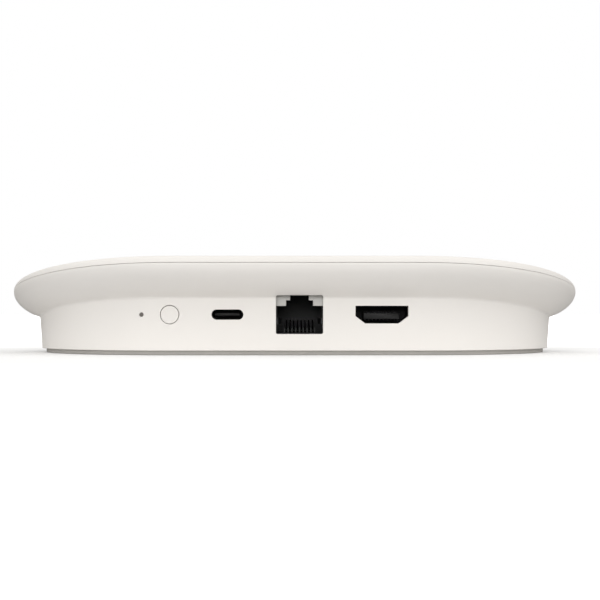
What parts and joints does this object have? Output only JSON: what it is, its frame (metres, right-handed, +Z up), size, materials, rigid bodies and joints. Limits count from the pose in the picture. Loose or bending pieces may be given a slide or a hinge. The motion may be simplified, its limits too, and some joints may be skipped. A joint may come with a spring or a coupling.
{
  "type": "streaming media player",
  "caption": "Oblong streaming media player: a thin tilted dish on a smaller drafted base, with HDMI, Ethernet and USB-C sockets and a button on its rear wall.",
  "frame": {"origin": "underside of the foot pad, in the middle of the plan", "axes": "+X along the length, +Y toward the rear wall with the sockets, +Z up"},
  "size_m": [0.162, 0.0764, 0.0265],
  "materials": {
    "porcelain_shell": "matte moulded plastic, warm off-white",
    "button_plastic": "matte moulded plastic, same off-white as the case",
    "foot_silicone": "matte grey silicone",
    "black_plastic": "black glass-filled plastic",
    "socket_steel": "black-plated steel sheet",
    "shield_steel": "tin-plated steel sheet",
    "weight_steel": "zinc-plated steel sheet",
    "screw_steel": "zinc-plated steel",
    "contact_gold": "gold-plated spring alloy",
    "contact_nickel": "nickel-plated spring alloy, dark inside the sockets",
    "sink_aluminium": "die-cast, bare",
    "board_laminate": "glass-fibre laminate with solder mask",
    "plate_plastic": "matte moulded plastic",
    "chip_resin": "moulded epoxy",
    "ferrite": "pressed ferrite",
    "ceramic": "fired ceramic with tinned ends",
    "thermal_silicone": "soft filled silicone",
    "light_window": "translucent polycarbonate",
    "status_window": "smoked polycarbonate",
    "lead_sheath": "extruded fluoropolymer sheath over a braided core"
  },
  "bodies": {
    "case": {"top_cover": "porcelain_shell", "lower_housing": "porcelain_shell", "base_plate": "plate_plastic", "foot_pad": "foot_silicone", "case_screws": "screw_steel", "weight_plate": "weight_steel", "main_board": "board_laminate", "board_screws": "screw_steel", "heat_sink": "sink_aluminium", "sink_screws": "screw_steel", "processor": "chip_resin", "processor_pad": "thermal_silicone", "memory_chips": "chip_resin", "storage_chip": "chip_resin", "shield_frame": "shield_steel", "shield_lid": "shield_steel", "lid_pad": "thermal_silicone", "power_chip": "chip_resin", "inductors": "ferrite", "capacitors": "ceramic", "network_transformer": "chip_resin", "radio_module": "shield_steel", "home_radio_chip": "chip_resin", "crystal": "shield_steel", "lead_sockets": "contact_gold", "antenna_left": "board_laminate", "antenna_right": "board_laminate", "antenna_lead_left": "lead_sheath", "antenna_lead_right": "lead_sheath", "hdmi_shell": "socket_steel", "hdmi_insulator": "black_plastic", "hdmi_contacts": "contact_nickel", "usb_shell": "socket_steel", "usb_insulator": "black_plastic", "usb_contacts": "contact_nickel", "socket_stands": "black_plastic", "ethernet_body": "black_plastic", "ethernet_shield": "shield_steel", "ethernet_contacts": "contact_nickel", "ethernet_lights": "light_window", "switch_body": "black_plastic", "switch_frame": "shield_steel", "status_light_pipe": "status_window", "status_led": "light_window"},
    "button": {"button_cap": "button_plastic"},
    "plunger": {"switch_plunger": "black_plastic"}
  },
  "joints": [
    {"name": "button_press", "type": "slide", "parent": "case", "child": "button", "axis": [0, -1, 0], "range_m": [0, 0.0003], "stiffness_N_per_m": 5000},
    {"name": "plunger_slide", "type": "slide", "parent": "case", "child": "plunger", "axis": [0, -1, 0], "range_m": [0, 0.0003]}
  ],
  "couplings": [
    {"joint": "plunger_slide", "follows": "button_press", "ratio": 1}
  ]
}
